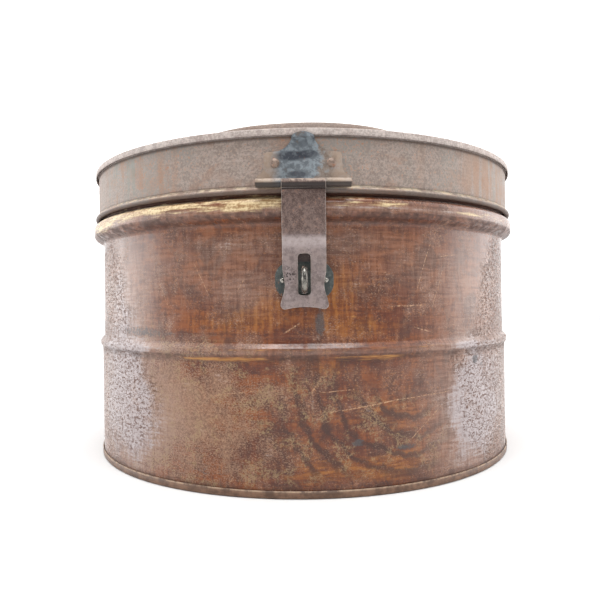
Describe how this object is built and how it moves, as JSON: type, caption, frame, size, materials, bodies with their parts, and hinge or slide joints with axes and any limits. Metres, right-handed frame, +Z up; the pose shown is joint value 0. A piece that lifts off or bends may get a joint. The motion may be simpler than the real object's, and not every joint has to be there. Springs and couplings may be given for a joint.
{
  "type": "hat box",
  "caption": "Round tinplate hat box with a raised hinged lid, front hasp and staple, rear hinge and a folding carrying handle.",
  "frame": {"origin": "centre of the round base, on the plane the box stands on", "axes": "+Z up through the lid, -Y towards the hasp at the front, +X to the right seen from the front"},
  "size_m": [0.343, 0.3567, 0.2545],
  "materials": {
    "body_panel_front": "old japanned tinplate, worn and speckled with rust",
    "body_panel_rear": "old japanned tinplate, worn and speckled with rust",
    "base_pan": "old japanned tinplate, worn and speckled with rust",
    "neck_wire": "bare steel, dull and pitted",
    "staple_plate": "old japanned tinplate, worn and speckled with rust",
    "staple_loop": "bare steel, dull and pitted",
    "staple_rivets": "bare steel, dull and pitted",
    "hinge_leaf_body": "old japanned tinplate, worn and speckled with rust",
    "body_hinge_rivets": "bare steel, dull and pitted",
    "lid_top": "old japanned tinplate, worn and speckled with rust",
    "lid_skirt_front": "old japanned tinplate, worn and speckled with rust",
    "lid_skirt_rear": "old japanned tinplate, worn and speckled with rust",
    "lid_rim_wire": "bare steel, dull and pitted",
    "hasp_plate": "old japanned tinplate, worn and speckled with rust",
    "hasp_plate_rivets": "bare steel, dull and pitted",
    "hasp_pin": "bare steel, dull and pitted",
    "hinge_leaf_lid": "old japanned tinplate, worn and speckled with rust",
    "lid_hinge_rivets": "bare steel, dull and pitted",
    "rear_hinge_pin": "bare steel, dull and pitted",
    "handle_eye_left": "bare steel, dull and pitted",
    "handle_eye_right": "bare steel, dull and pitted",
    "handle_rivets": "bare steel, dull and pitted",
    "hasp_strap": "bare steel, dull and pitted",
    "carry_handle": "bare steel, dull and pitted",
    "handle_grip": "old japanned tinplate, worn and speckled with rust"
  },
  "bodies": {
    "box": {"body_panel_front": "body_panel_front", "body_panel_rear": "body_panel_rear", "base_pan": "base_pan", "neck_wire": "neck_wire", "staple_plate": "staple_plate", "staple_loop": "staple_loop", "staple_rivets": "staple_rivets", "hinge_leaf_body": "hinge_leaf_body", "body_hinge_rivets": "body_hinge_rivets"},
    "lid": {"lid_top": "lid_top", "lid_skirt_front": "lid_skirt_front", "lid_skirt_rear": "lid_skirt_rear", "lid_rim_wire": "lid_rim_wire", "hasp_plate": "hasp_plate", "hasp_plate_rivets": "hasp_plate_rivets", "hasp_pin": "hasp_pin", "hinge_leaf_lid": "hinge_leaf_lid", "lid_hinge_rivets": "lid_hinge_rivets", "rear_hinge_pin": "rear_hinge_pin", "handle_eye_left": "handle_eye_left", "handle_eye_right": "handle_eye_right", "handle_rivets": "handle_rivets"},
    "hasp": {"hasp_strap": "hasp_strap"},
    "handle": {"carry_handle": "carry_handle", "handle_grip": "handle_grip"}
  },
  "joints": [
    {"name": "lid_hinge", "type": "hinge", "parent": "box", "child": "lid", "pos_m": [0, 0.1735, 0.1833], "axis": [-1, 0, 0], "range_deg": [0, 195]},
    {"name": "hasp_hinge", "type": "hinge", "parent": "lid", "child": "hasp", "pos_m": [0, -0.1735, 0.1833], "axis": [-1, 0, 0], "range_deg": [0, 180]},
    {"name": "handle_pivot", "type": "hinge", "parent": "lid", "child": "handle", "pos_m": [0, 0, 0.25], "axis": [1, 0, 0], "range_deg": [0, 180]}
  ]
}
